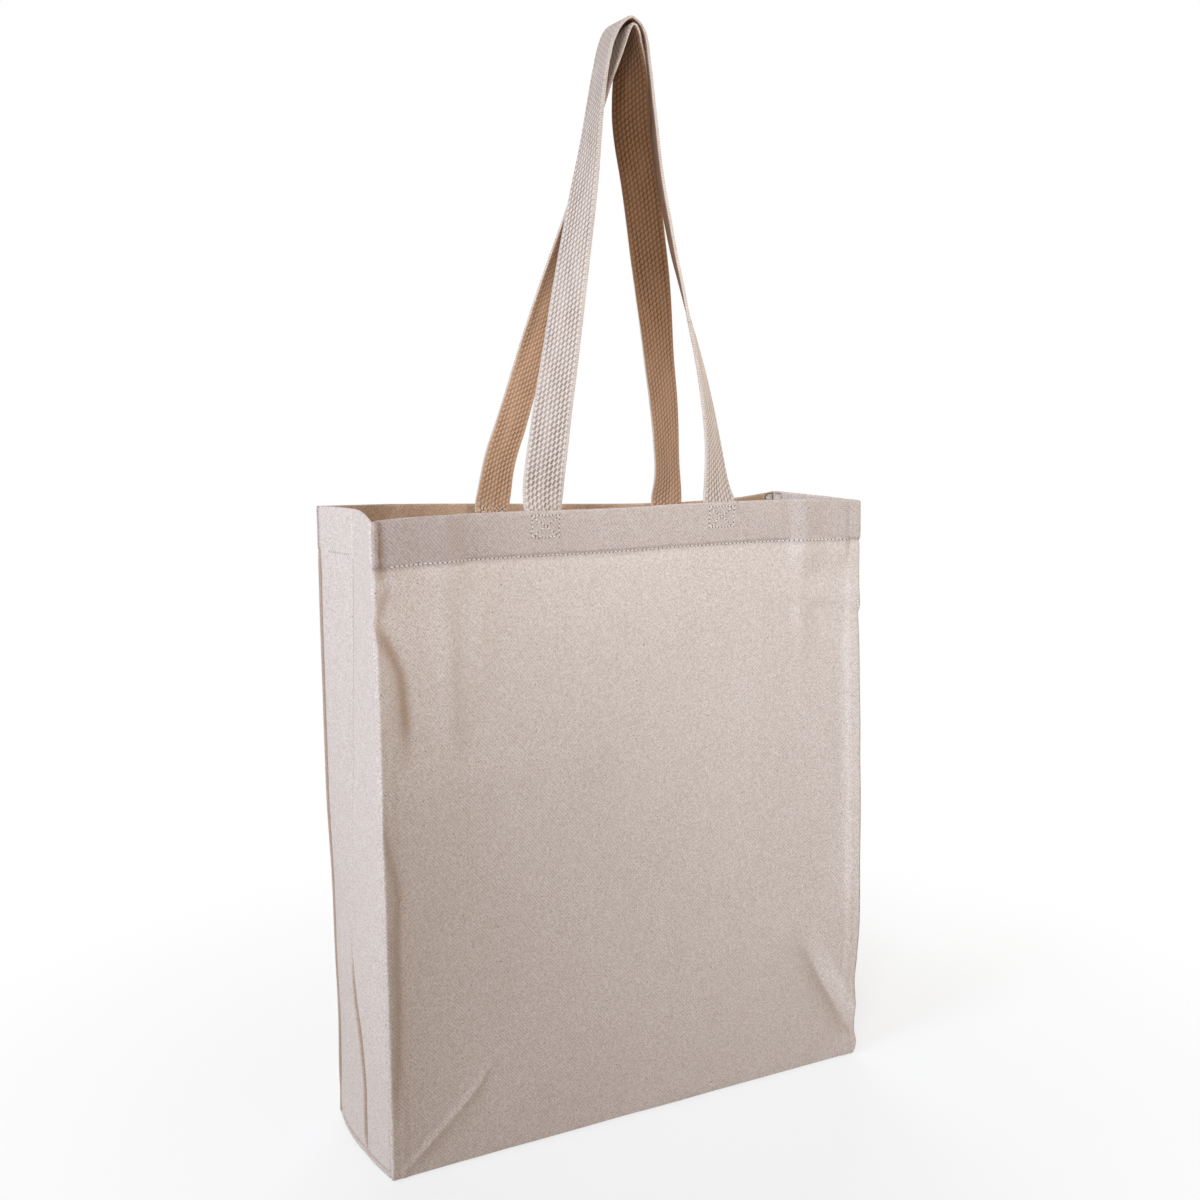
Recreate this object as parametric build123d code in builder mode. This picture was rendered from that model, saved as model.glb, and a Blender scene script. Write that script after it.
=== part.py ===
from build123d import *
from math import acos, atan2, cos, degrees, hypot, pi, radians, sin, tan
import os

# Canvas tote bag. Millimetres, +Z up, the front panel at -Y.
# The origin is on the floor, under the middle of the base.
bag_width = 355.6
bag_height = 406.4
bag_depth = 101.6
canvas = 0.9
hem_depth = 31.75
hem_layers = 2
seam_width = 8.0
seam_thickness = 2.0
overlock_width = 1.0
webbing_width = 25.4
webbing_thickness = 2.2

# Clearances. A sewn edge that turns stays this far from the seam beside it.
sewn_gap = 0.5
loose_gap = 0.3
crease_gap = 0.3

# Sewing thread that stands on the cloth.
thread_width = 0.7
thread_height = 0.35
stitch_above_hem_edge = 3.5
tack_width = 19.0
tack_height = 13.5
tack_below_rim = 3.0

# Handles: where the webbing is sewn on, and how it rises to the hanging point.
strap_tail = 21.0
front_handle_centre = 0.5
front_handle_spacing = 130.0
back_handle_centre = 9.0
back_handle_spacing = 137.0
root_start = 0.8
root_length = 15.2
hanging_height = 313.0
twist_length = 235.0
leg_step = 16.0
bend_step = radians(22)

# The loops are drawn flat, as corners (across, up, bend radius) above the roots.
front_loop_corners = [(7.5, 288.5, 16.0), (27.5, 305.0, 5.0)]
back_loop_corners = [(23.5, 305.0, 3.0), (29.0, 223.5, 60.0)]

half_width = bag_width / 2
half_depth = bag_depth / 2
inner_face = half_depth - canvas
hem_thickness = hem_layers * canvas
hem_inner = inner_face - hem_thickness
seam_inner = inner_face - seam_thickness
hinge_y = seam_inner - sewn_gap
seam_end = half_width - seam_width - overlock_width
hem_half_length = seam_end - loose_gap
strap_y = hem_inner - webbing_thickness / 2
stitch_z = bag_height - hem_depth + stitch_above_hem_edge
gusset_bottom = canvas + loose_gap
root_top = root_start + root_length
loop_start = root_top + loose_gap
lean = atan2(strap_y, hanging_height - root_top)

# A folded side gusset swings over the base, so the base ends are mitred to let it pass.
mitre_margin = 6.0
mitre_gap = 0.5
# The gusset hem and its thread start this far from the seam, to fold flat past the panel hem.
gusset_hem_start = 10.0
gusset_stitch_start = 14.0
gusset_stitch_end = 4.0

panels = (("front", -1, front_handle_centre, front_handle_spacing, front_loop_corners),
          ("back", 1, back_handle_centre, back_handle_spacing, back_loop_corners))
sides = (("left", -1), ("right", 1))
halves = (("front", -1), ("rear", 1))


def save(builder, name):
    builder.part.label = name
    export_step(builder.part, f"parts/{name}.step")


def slab(x_range, y_range, z_range):
    """A box of cloth between two x, two y and two z values."""
    spans = [sorted(span) for span in (x_range, y_range, z_range)]
    middle = [(low + high) / 2 for low, high in spans]
    size = [high - low for low, high in spans]
    with Locations(tuple(middle)):
        Box(*size)


def strap_feet(centre, spacing):
    """The x of the left and right sewn ends of one handle."""
    return (("left", centre - spacing / 2), ("right", centre + spacing / 2))


def rounded_path(corners):
    """Points (across, up) of a line through the corners, with each one bent to its radius."""
    path = [corners[0][:2]]
    for before, corner, after in zip(corners, corners[1:], corners[2:]):
        into = direction(before, corner)
        out = direction(corner, after)
        turn = acos(into[0] * out[0] + into[1] * out[1])
        side = 1 if into[0] * out[1] - into[1] * out[0] > 0 else -1
        reach = corner[2] * tan(turn / 2)
        start = (corner[0] - into[0] * reach, corner[1] - into[1] * reach)
        hub = (start[0] - into[1] * corner[2] * side, start[1] + into[0] * corner[2] * side)
        add_straight(path, start)
        steps = max(2, round(turn / bend_step))
        spoke = (start[0] - hub[0], start[1] - hub[1])
        for step in range(1, steps + 1):
            angle = side * turn * step / steps
            path.append((hub[0] + spoke[0] * cos(angle) - spoke[1] * sin(angle),
                         hub[1] + spoke[0] * sin(angle) + spoke[1] * cos(angle)))
    add_straight(path, corners[-1][:2])
    return path


def direction(start, end):
    length = hypot(end[0] - start[0], end[1] - start[1])
    return ((end[0] - start[0]) / length, (end[1] - start[1]) / length)


def add_straight(path, end):
    """Carry the path on to the end in even steps, so that the twist has places to turn."""
    start = path[-1]
    length = hypot(end[0] - start[0], end[1] - start[1])
    steps = max(1, round(length / leg_step))
    for step in range(1, steps + 1):
        share = step / steps
        path.append((start[0] + (end[0] - start[0]) * share, start[1] + (end[1] - start[1]) * share))


def twist_at(run):
    """The webbing lies flat at its foot and is turned edge on before it reaches the hanging point."""
    share = min(1.0, run / twist_length)
    return (1 - (1 - share) ** 2) * pi / 2


def loop_sections(path, face):
    """Planes across the webbing, along a loop that leans in from the roots of one handle."""
    runs = [0.0]
    for start, end in zip(path, path[1:]):
        runs.append(runs[-1] + hypot(end[0] - start[0], end[1] - start[1]))
    up = Vector(0, -face * sin(lean), cos(lean))
    outward = Vector(0, face * cos(lean), sin(lean))
    foot = Vector(0, face * strap_y, bag_height + loop_start)
    planes = []
    for index, (point, run) in enumerate(zip(path, runs)):
        ahead = direction(path[max(0, index - 1)], path[min(len(path) - 1, index + 1)])
        if index in (0, len(path) - 1):
            ahead = (0, 1 if index == 0 else -1)
        along = Vector(ahead[0], 0, 0) + up * ahead[1]
        flat = Vector(ahead[1], 0, 0) - up * ahead[0]
        twist = twist_at(min(run, runs[-1] - run))
        across = flat * cos(twist) + outward * sin(twist)
        planes.append(Plane(foot + Vector(point[0], 0, 0) + up * point[1], x_dir=across, z_dir=along))
    return planes


os.makedirs("parts", exist_ok=True)

for panel_name, face, handle_centre, handle_spacing, loop_corners in panels:
    # Each big panel is one sheet of canvas, turned in twice at the top as a hem.
    with BuildPart() as panel:
        slab((-half_width, half_width), (face * inner_face, face * half_depth), (0, bag_height))
        slab((-hem_half_length, hem_half_length), (face * hem_inner, face * inner_face),
             (bag_height - hem_depth, bag_height))
    save(panel, f"{panel_name}_panel")

    with BuildPart() as hem_stitching:
        for surface, outward in ((half_depth, 1), (hem_inner, -1)):
            slab((-hem_half_length, hem_half_length),
                 (face * surface, face * (surface + outward * thread_height)),
                 (stitch_z, stitch_z + thread_width))
    save(hem_stitching, f"{panel_name}_hem_stitching")

    # Seam allowances are pressed against the inside of the panel and bound with overlock thread.
    for side_name, side in sides:
        with BuildPart() as seam:
            slab((side * half_width, side * (half_width - seam_width)),
                 (face * seam_inner, face * inner_face), (0, bag_height))
        save(seam, f"{panel_name}_{side_name}_seam")

        with BuildPart() as overlock:
            slab((side * (half_width - seam_width), side * seam_end),
                 (face * seam_inner, face * inner_face), (0, bag_height))
        save(overlock, f"{panel_name}_{side_name}_overlock")

    with BuildPart() as base_seam:
        slab((-hem_half_length, hem_half_length), (face * seam_inner, face * inner_face),
             (0, seam_width))
    save(base_seam, f"{panel_name}_base_seam")

    with BuildPart() as base_overlock:
        slab((-hem_half_length, hem_half_length), (face * seam_inner, face * inner_face),
             (seam_width, seam_width + overlock_width))
    save(base_overlock, f"{panel_name}_base_overlock")

    # The ends of the webbing are sewn inside the hem, with a box and a cross of thread.
    feet = strap_feet(handle_centre, handle_spacing)
    for side_name, foot_x in feet:
        with BuildPart() as strap_end:
            slab((foot_x - webbing_width / 2, foot_x + webbing_width / 2),
                 (face * (hem_inner - webbing_thickness), face * hem_inner),
                 (bag_height - strap_tail, bag_height))
        save(strap_end, f"{panel_name}_handle_{side_name}_end")

        tack_z = bag_height - tack_below_rim - tack_height / 2
        diagonal = hypot(tack_width, tack_height) - 2 * thread_width
        slope = degrees(atan2(tack_height, tack_width))
        with BuildPart() as tack:
            for surface, outward in ((half_depth, 1), (hem_inner - webbing_thickness, -1)):
                with BuildSketch(Plane((foot_x, face * surface, tack_z), x_dir=(1, 0, 0),
                                       z_dir=(0, face * outward, 0))):
                    Rectangle(tack_width, tack_height)
                    Rectangle(tack_width - 2 * thread_width, tack_height - 2 * thread_width,
                              mode=Mode.SUBTRACT)
                    for angle in (slope, -slope):
                        with Locations(Location((0, 0, 0), (0, 0, angle))):
                            Rectangle(diagonal, thread_width)
                extrude(amount=thread_height)
        save(tack, f"{panel_name}_{side_name}_tack")

    # The webbing bends over the rim at its two roots, and the loop leans on from there.
    with BuildPart() as roots:
        for _, foot_x in feet:
            slab((foot_x - webbing_width / 2, foot_x + webbing_width / 2),
                 (face * (strap_y - webbing_thickness / 2), face * (strap_y + webbing_thickness / 2)),
                 (bag_height + root_start, bag_height + root_top))
    save(roots, f"{panel_name}_handle_roots")

    left_foot, right_foot = [foot_x for _, foot_x in feet]
    path = rounded_path([(left_foot, 0), *loop_corners, (right_foot, 0)])
    with BuildPart() as loop:
        for plane in loop_sections(path, face):
            with BuildSketch(plane):
                Rectangle(webbing_width, webbing_thickness)
        loft(ruled=True)
    save(loop, f"{panel_name}_handle_loop")

# Each side gusset is one strip, pressed into two halves along its middle.
for side_name, side in sides:
    for half_name, half in halves:
        with BuildPart() as gusset:
            slab((side * half_width, side * (half_width - canvas)),
                 (half * hinge_y, half * crease_gap / 2), (gusset_bottom, bag_height))
            slab((side * (half_width - canvas), side * (half_width - canvas - hem_thickness)),
                 (half * (hinge_y - gusset_hem_start), half * crease_gap / 2),
                 (bag_height - hem_depth, bag_height))
        save(gusset, f"{side_name}_gusset_{half_name}")

        with BuildPart() as gusset_stitching:
            for surface, outward in ((half_width, 1), (half_width - canvas - hem_thickness, -1)):
                slab((side * surface, side * (surface + outward * thread_height)),
                     (half * (hinge_y - gusset_stitch_start), half * gusset_stitch_end),
                     (stitch_z, stitch_z + thread_width))
        save(gusset_stitching, f"{side_name}_gusset_{half_name}_stitching")

    # The tuck is the cloth of the base end, which creases between the gusset and the base.
    edge_x = half_width - mitre_margin + mitre_gap
    with BuildPart() as tuck:
        with BuildSketch(Plane.XY):
            with BuildLine():
                Polyline((side * half_width, -hinge_y), (side * edge_x, -hinge_y),
                         (side * (edge_x - hinge_y), 0), (side * edge_x, hinge_y),
                         (side * half_width, hinge_y), close=True)
            make_face()
        extrude(amount=canvas)
    save(tuck, f"{side_name}_base_tuck")

for half_name, half in halves:
    long_edge = half_width - mitre_margin
    short_edge = long_edge - hinge_y + crease_gap / 2
    with BuildPart() as base:
        with BuildSketch(Plane.XY):
            with BuildLine():
                Polyline((-long_edge, half * hinge_y), (long_edge, half * hinge_y),
                         (short_edge, half * crease_gap / 2), (-short_edge, half * crease_gap / 2),
                         close=True)
            make_face()
        extrude(amount=canvas)
    save(base, f"base_{half_name}")
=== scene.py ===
# %% [markdown]
# # A canvas tote bag
# The real bag is flat canvas: two panels, two side gussets and a base, hemmed, sewn along turned edges and
# carried by two straps of webbing. The CAD frame already knows its sizes and how it folds. This lesson
# dresses that frame. Every cloth piece starts as a flat grid, because cloth is a sheet, and its points are
# then moved into hems, turned edges, dents and creases. A cloth simulation would also give folds, but not
# the ones of this very bag.

# %% The frame
import math
from functools import partial

import bmesh
import bpy
from mathutils import Matrix, Vector, noise
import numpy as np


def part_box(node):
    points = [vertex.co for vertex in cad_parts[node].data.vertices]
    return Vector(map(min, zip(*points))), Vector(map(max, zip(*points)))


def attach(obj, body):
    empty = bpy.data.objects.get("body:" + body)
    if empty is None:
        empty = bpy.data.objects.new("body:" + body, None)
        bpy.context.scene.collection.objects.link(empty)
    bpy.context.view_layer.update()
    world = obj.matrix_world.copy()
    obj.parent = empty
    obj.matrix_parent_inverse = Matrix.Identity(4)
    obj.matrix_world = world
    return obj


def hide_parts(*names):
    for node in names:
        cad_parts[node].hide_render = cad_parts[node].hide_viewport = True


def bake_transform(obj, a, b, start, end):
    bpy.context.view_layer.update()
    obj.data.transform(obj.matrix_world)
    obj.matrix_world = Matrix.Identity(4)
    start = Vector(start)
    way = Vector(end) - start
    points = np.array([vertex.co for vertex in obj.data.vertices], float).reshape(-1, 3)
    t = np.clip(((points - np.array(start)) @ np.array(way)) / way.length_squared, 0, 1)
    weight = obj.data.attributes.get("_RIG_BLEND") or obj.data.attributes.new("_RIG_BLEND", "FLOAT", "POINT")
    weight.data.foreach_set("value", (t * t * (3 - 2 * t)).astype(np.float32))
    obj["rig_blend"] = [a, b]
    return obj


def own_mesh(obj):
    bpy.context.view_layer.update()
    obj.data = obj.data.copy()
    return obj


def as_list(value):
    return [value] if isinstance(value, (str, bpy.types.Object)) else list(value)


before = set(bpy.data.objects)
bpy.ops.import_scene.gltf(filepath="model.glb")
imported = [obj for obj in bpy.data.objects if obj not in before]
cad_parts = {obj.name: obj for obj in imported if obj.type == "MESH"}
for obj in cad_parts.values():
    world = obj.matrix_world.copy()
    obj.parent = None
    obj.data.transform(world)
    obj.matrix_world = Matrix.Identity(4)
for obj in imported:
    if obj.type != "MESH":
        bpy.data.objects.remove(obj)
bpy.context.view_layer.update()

# %% [markdown]
# ## Sizes
# The shapes below are thought out in millimetres, as a maker would measure them, and turned into Blender's
# metres when a point is placed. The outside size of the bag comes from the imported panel, so nothing has to
# be fitted.

# %% Sizes of the bag
MM = 0.001


def node_box(node):
    """The two far corners of a CAD node, in millimetres."""
    return [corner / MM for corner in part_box(node)]


panel_low, panel_high = node_box("front_panel")
half_width, rim, half_depth = panel_high.x, panel_high.z, -panel_low.y
canvas = 0.9                        # thickness of the cloth
cloth_x = half_width - canvas / 2   # middle of the cloth on each side
cloth_y = half_depth - canvas / 2
stitch_z = sum(corner.z for corner in node_box("front_hem_stitching")) / 2
print(f"bag {2 * half_width:.1f} wide, {rim:.1f} high and {2 * half_depth:.1f} deep")
print(f"hem stitched at {stitch_z:.1f}")

# %% [markdown]
# ## Camera
# The corners of the bag in the picture give the place, tilt and lens of the camera. Three directions make
# its matrix: right, up and backwards. Setting them directly keeps the small roll that a tracking constraint
# would lose.

# %% Camera
def aim_camera(place, yaw, pitch, roll, lens):
    """A camera at a place in millimetres, turned left by yaw, down by pitch and about its axis by roll."""
    yaw, pitch, roll = math.radians(yaw), math.radians(pitch), math.radians(roll)
    look = Vector((-math.sin(yaw) * math.cos(pitch), math.cos(yaw) * math.cos(pitch), -math.sin(pitch)))
    level = Vector((math.cos(yaw), math.sin(yaw), 0))
    above = level.cross(look)
    right = level * math.cos(roll) + above * math.sin(roll)
    up = above * math.cos(roll) - level * math.sin(roll)
    turn = Matrix((right, up, -look)).transposed().to_4x4()
    camera = bpy.data.objects.new("camera", bpy.data.cameras.new("camera"))
    bpy.context.collection.objects.link(camera)
    camera.matrix_world = Matrix.Translation(Vector(place) * MM) @ turn
    camera.data.sensor_width, camera.data.lens, camera.data.clip_start = 36, lens, 0.01
    return camera


bpy.context.scene.camera = aim_camera(
    place=(-455.434, -832.323, 466.81), yaw=-28.617, pitch=7.499, roll=-0.559, lens=42.63)
print("camera at", bpy.context.scene.camera.location)

# %% [markdown]
# ## Building materials from nodes
# A material can be clicked together in the shader editor or written down. A few helpers keep the written
# form short. `add_node` adds a node and joins whatever goes into it. A `Value` is a number that a node
# makes: adding, multiplying or dividing it adds a Math node, so that a pattern of threads reads like plain
# arithmetic.

# %% Node helpers
def fill_inputs(node, inputs):
    """Gives the inputs of a node, by name or number, plain values or links."""
    for name, value in inputs.items():
        value = getattr(value, "socket", value)
        if isinstance(value, bpy.types.NodeSocket):
            node.id_data.links.new(value, node.inputs[name])
        else:
            node.inputs[name].default_value = value


def add_node(tree, kind, **settings):
    """A new node with its settings and what goes into its inputs."""
    made = tree.nodes.new(kind)
    inputs = settings.pop("inputs", {})
    for name, value in settings.items():
        setattr(made, name, value)
    fill_inputs(made, inputs)
    return made


def read_node(tree, kind, output=0, **settings):
    """One output of a new node, as a value."""
    return Value(add_node(tree, kind, **settings).outputs[output])


class Value:
    """A number made by a node, which can be reckoned with like a plain number."""

    def __init__(self, socket):
        self.socket, self.tree = socket, socket.id_data

    def maths(self, operation, *others):
        """The result of a Math node on this value and others."""
        inputs = dict(enumerate((self, *others)))
        return read_node(self.tree, "ShaderNodeMath", operation=operation, inputs=inputs)

    def __add__(self, other):
        return self.maths("ADD", other)

    def __sub__(self, other):
        return self.maths("SUBTRACT", other)

    def __mul__(self, other):
        return self.maths("MULTIPLY", other)

    def __truediv__(self, other):
        return self.maths("DIVIDE", other)


def spread(value, low, high, **settings):
    """A value spread out so that low gives 0 and high gives 1, and cut off beyond them."""
    inputs = {"Value": value, "From Min": low, "From Max": high}
    return read_node(value.tree, "ShaderNodeMapRange", inputs=inputs, **settings)


def tint(share, first, second, blend="MIX"):
    """A colour between two others or, blended with MULTIPLY, the first seen through the second."""
    mix = add_node(share.tree, "ShaderNodeMix", data_type="RGBA", blend_type=blend,
                   inputs={0: share, 6: first, 7: second})
    return mix.outputs[2]


def srgb(red, green, blue):
    """A colour as a paint program gives it, 0 to 255, in the linear form that the shader wants."""
    def linear(part):
        part /= 255
        return part / 12.92 if part <= 0.04045 else ((part + 0.055) / 1.055) ** 2.4
    return (linear(red), linear(green), linear(blue), 1)


def new_material(name):
    """A material and its node tree."""
    made = bpy.data.materials.new(name)
    made.use_nodes = True
    return made, made.node_tree


def join_shader(tree, colour, roughness, height, strength, distance, **levels):
    """Joins colour, roughness and relief to a material's shader and sets the other levels it is given."""
    bump = add_node(tree, "ShaderNodeBump", inputs={
        "Strength": strength, "Distance": distance, "Height": height})
    inputs = {"Base Color": colour, "Roughness": roughness, "Normal": bump.outputs[0]}
    inputs.update((name.replace("_", " "), level) for name, level in levels.items())
    fill_inputs(tree.nodes["Principled BSDF"], inputs)


# %% [markdown]
# ## Natural canvas
# Unbleached cotton is never one colour. Threads vary in thickness and shade along their length, a slanting
# grain of about a millimetre shows where the threads cross, and specks of seed husk stay in the cloth. The
# pattern reads the UV map, which holds the flat cloth in metres, so that the threads follow the cloth round
# every turn. Two attributes of the mesh paint shade onto a place: doubled darkens a hem, where less light
# comes through two layers, and the other browns a fold or a seam where shade falls in it.

# %% Canvas
thread_pitch, grain_pitch = 0.66, 2.2           # millimetres between threads, and between lines of the grain
# Painted shade: how much darker the doubled hem looks, with less light coming through two layers.
hem_shade_filter = (0.69, 0.66, 0.66, 1)              # what doubled cloth leaves of its colour
# Painted shade: the brown given to folds, seams and crevices where shade falls in them.
painted_shade_colour = srgb(150, 116, 86)
canvas_husks = [(6.3, 0.42, 0.34, 1.0, 0.6, srgb(122, 96, 76)),
                (3.1, 0.30, 0.45, 1.4, 0.45, srgb(146, 116, 90)),
                (26.0, 0.62, 0.4, 0.8, 0.8, srgb(92, 70, 54))]


def flat_place(tree):
    """Where a point lies on the flat cloth, across and along, in millimetres."""
    cloth = add_node(tree, "ShaderNodeUVMap", uv_map="cloth").outputs[0]
    flat = add_node(tree, "ShaderNodeSeparateXYZ", inputs={0: cloth}).outputs
    return Value(flat[0]) * (1 / MM), Value(flat[1]) * (1 / MM)


def joined(x, y):
    """Two values as one place for a texture."""
    return add_node(x.tree, "ShaderNodeCombineXYZ", inputs={0: x, 1: y}).outputs[0]


def wave(value, length):
    """A sine wave of a length in millimetres."""
    return (value * (2 * math.pi / length)).maths("SINE")


def cloth_noise(across, along, width, length, detail=2.0):
    """Soft noise on the flat cloth with patches of a width and length in millimetres, from 0 to 1."""
    return read_node(across.tree, "ShaderNodeTexNoise", noise_dimensions="2D", inputs={
        "Vector": joined(across / width, along / length), "Scale": 1.0, "Detail": detail, "Roughness": 0.6})


def husks(across, along, spacing, size, kept, stretch=1.0):
    """Specks of seed husk: one in each cell of a loose pattern, of which only a share is kept."""
    cells = add_node(across.tree, "ShaderNodeTexVoronoi", voronoi_dimensions="2D", inputs={
        "Vector": joined(across / spacing, along / (spacing * stretch)), "Scale": 1.0}).outputs
    chance = read_node(across.tree, "ShaderNodeSeparateColor", inputs={0: cells["Color"]})
    near = spread(Value(cells["Distance"]), size / spacing, size / spacing * 0.4)
    return near * chance.maths("LESS_THAN", kept)


def canvas_finish(name, pale, mid, shade):
    """Unbleached canvas: crossing threads, a slanting grain, slubs, soft patches and husks."""
    made, tree = new_material(name)
    across, along = flat_place(tree)
    doubled, painted_shade = [read_node(tree, "ShaderNodeAttribute", "Fac", attribute_name=mark)
                       for mark in ("doubled", "painted_shade")]
    threads = wave(across, 2 * thread_pitch) * wave(along, 2 * thread_pitch)
    slant = across + along * 0.85 + cloth_noise(across, along, 6.0, 6.0) * 1.1
    grain = wave(slant, grain_pitch) * (doubled * 0.2 + 0.22)
    slubs = cloth_noise(across, along, 6.0, 0.8) + cloth_noise(across, along, 0.8, 8.0)
    fuzz = cloth_noise(across, along, 0.9, 0.9, 3.0)
    crossing = joined((across / thread_pitch).maths("FLOOR"), (along / thread_pitch).maths("FLOOR"))
    speckle = read_node(tree, "ShaderNodeTexWhiteNoise", "Value", noise_dimensions="2D",
                        inputs={"Vector": crossing})
    height = threads * 0.26 + grain + slubs * 0.6 + fuzz * 0.5 + speckle * 1.5
    colour = tint(spread(height, 0.28, 2.38), shade, pale)
    colour = tint(cloth_noise(across, along, 30.0, 55.0, 3.0) * 0.3 + 0.1, colour, mid)
    # Painted shade: the doubled hem is darkened, as less light comes through it.
    colour = tint(doubled, colour, hem_shade_filter, "MULTIPLY")
    # Painted shade: folds, seams and crevices are browned where shade falls in them.
    colour = tint(painted_shade, colour, painted_shade_colour)
    for spacing, size, kept, stretch, strength, brown in canvas_husks:
        colour = tint(husks(across, along, spacing, size, kept, stretch) * strength, colour, brown)
    join_shader(tree, colour, fuzz * 0.12 + 0.84, height, 0.5, 0.0003,
                Specular_IOR_Level=0.12, Sheen_Weight=0.08, Sheen_Roughness=0.6)
    return made


canvas_look = canvas_finish("natural_canvas", srgb(224, 212, 204), srgb(207, 192, 181), srgb(164, 144, 129))
# Painted shade: the inside of the bag, lit only by light bouncing in it, gets a browner canvas.
canvas_shaded_inside_look = canvas_finish(
    "natural_canvas_inside_painted_shade", srgb(224, 193, 162), srgb(207, 173, 141), srgb(158, 124, 94))
print("material", canvas_look.name, "with", len(canvas_look.node_tree.nodes), "nodes")

# %% [markdown]
# ## Webbing and thread
# The straps are narrow woven tape. Its floats, the short stretches of yarn that show, sit in staggered
# columns like grains between slits painted dark as shade, and the two edges are plain. Counting cells
# across and along and offsetting every second column gives the stagger. The inside of the loops has its
# own finish with painted shade: browner than the outside, and darker still high on the right, which it
# finds by reading its place in the room. The sewing thread is plain off-white cotton with a fine twist,
# and each needle hole is a small dark dot of painted shade.

# %% Webbing and thread
strap_low, strap_high = node_box("front_handle_left_end")
strap_width = strap_high.x - strap_low.x
float_width, float_length, plain_edge = 2.6, 3.7, 1.5


def webbing_finish(name, pale, mid, slit_shade, shade_filter=None):
    """Cotton tape: pale floats parted by staggered slanting slits, between two plain edges."""
    made, tree = new_material(name)
    across, along = flat_place(tree)
    column = across / float_width
    stagger = column.maths("FLOOR").maths("FLOORED_MODULO", 2.0) * 0.5
    off_column = (column.maths("FRACT") - 0.5) * float_width
    off_row = ((along / float_length + stagger).maths("FRACT") - 0.5) * float_length
    slanted = off_column - off_row * 0.36
    far = ((slanted.maths("ABSOLUTE") / 0.72).maths("POWER", 2.0)
           + (off_row.maths("ABSOLUTE") / 1.95).maths("POWER", 4.0))
    floats = spread(far, 0.3, 1.9, interpolation_type="SMOOTHSTEP") + wave(across, 0.62) * 0.10
    ribs = wave(along, 1.65) * 0.22 + 0.62
    edge = across.maths("ABSOLUTE").maths("GREATER_THAN", strap_width / 2 - plain_edge)
    fuzz = cloth_noise(across, along, 0.6, 0.9)
    height = read_node(tree, "ShaderNodeMix", data_type="FLOAT", inputs={0: edge, 2: floats, 3: ribs})
    height = height + fuzz * 0.35
    # Painted shade: the slits between the floats and the low parts of the weave take the dark gap colour.
    colour = tint(spread(height, 0.15, 1.1), slit_shade, mid)
    colour = tint(cloth_noise(across, along, 9.0, 30.0, 3.0) * 0.6, colour, pale)
    colour = tint(husks(across, along, 6.0, 0.4, 0.2) * 0.6, colour, srgb(120, 92, 68))
    # Painted shade: high on the right, where the loops lie in shadow, the inside is darkened further.
    if shade_filter:
        place = add_node(tree, "ShaderNodeTexCoord").outputs["Object"]
        place = add_node(tree, "ShaderNodeSeparateXYZ", inputs={0: place}).outputs
        to_right, upward = spread(Value(place["X"]), -0.05, 0.0), spread(Value(place["Z"]), 0.37, 0.53)
        colour = tint(to_right * upward, colour, shade_filter, "MULTIPLY")
    join_shader(tree, colour, fuzz * 0.12 + 0.82, height, 0.7, 0.0006,
                Specular_IOR_Level=0.15, Sheen_Weight=0.1)
    return made


def thread_finish(name, pale, dark):
    """Off-white sewing thread with a fine twist."""
    made, tree = new_material(name)
    place = add_node(tree, "ShaderNodeTexCoord").outputs["Object"]
    twist = read_node(tree, "ShaderNodeTexWave", "Fac", wave_type="BANDS", bands_direction="DIAGONAL",
                      inputs={"Vector": place, "Scale": 900.0, "Distortion": 1.5, "Detail": 1.0})
    worn = read_node(tree, "ShaderNodeTexNoise", inputs={"Vector": place, "Scale": 420.0, "Detail": 2.0})
    join_shader(tree, tint(worn, dark, pale), worn * 0.2 + 0.65, twist, 0.4, 0.0002, Specular_IOR_Level=0.25)
    return made


webbing_look = webbing_finish("natural_webbing", srgb(216, 202, 192), srgb(204, 189, 177), srgb(100, 73, 52))
# Painted shade: the inside of the loops is browner than the outside.
shaded_inner_webbing_look = webbing_finish(
    "natural_webbing_inside_painted_shade", srgb(222, 184, 153), srgb(208, 168, 134), srgb(104, 70, 45),
    shade_filter=(0.45, 0.37, 0.29, 1))
thread_look = thread_finish("sewing_thread", srgb(230, 221, 214), srgb(204, 192, 182))
# Painted shade: each needle hole is a small dark bead, standing in for the shade in the hole.
needle_hole_shade_look = thread_finish("needle_hole_shade", srgb(96, 76, 62), srgb(66, 50, 40))
print("materials", webbing_look.name, shaded_inner_webbing_look.name, thread_look.name, needle_hole_shade_look.name)

# %% [markdown]
# ## Soft lines
# Folds in cloth are drawn with a few points and read off smoothly. `ease` is a soft step, `span` a stretch
# with two soft ends, `read_line` a soft line through given stops, and `beside` tells how far a point lies
# from a crease and on which side of it.

# %% Helpers for folds
def ramp(value, low, high):
    """0 below low, 1 above high and a straight ramp between them."""
    return min(1.0, max(0.0, (value - low) / (high - low)))


def ease(value, low, high):
    """0 below low, 1 above high and a soft step between them."""
    share = ramp(value, low, high)
    return share * share * (3 - 2 * share)


def span(value, start, full, fading, end):
    """0 up to start, 1 from full to fading and 0 again from end, with soft steps between them."""
    return ease(value, start, full) * (1 - ease(value, fading, end))


def bump_at(value, centre, reach):
    """1 at the centre, falling away like a bell."""
    return math.exp(-((value - centre) / reach) ** 2)


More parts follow.
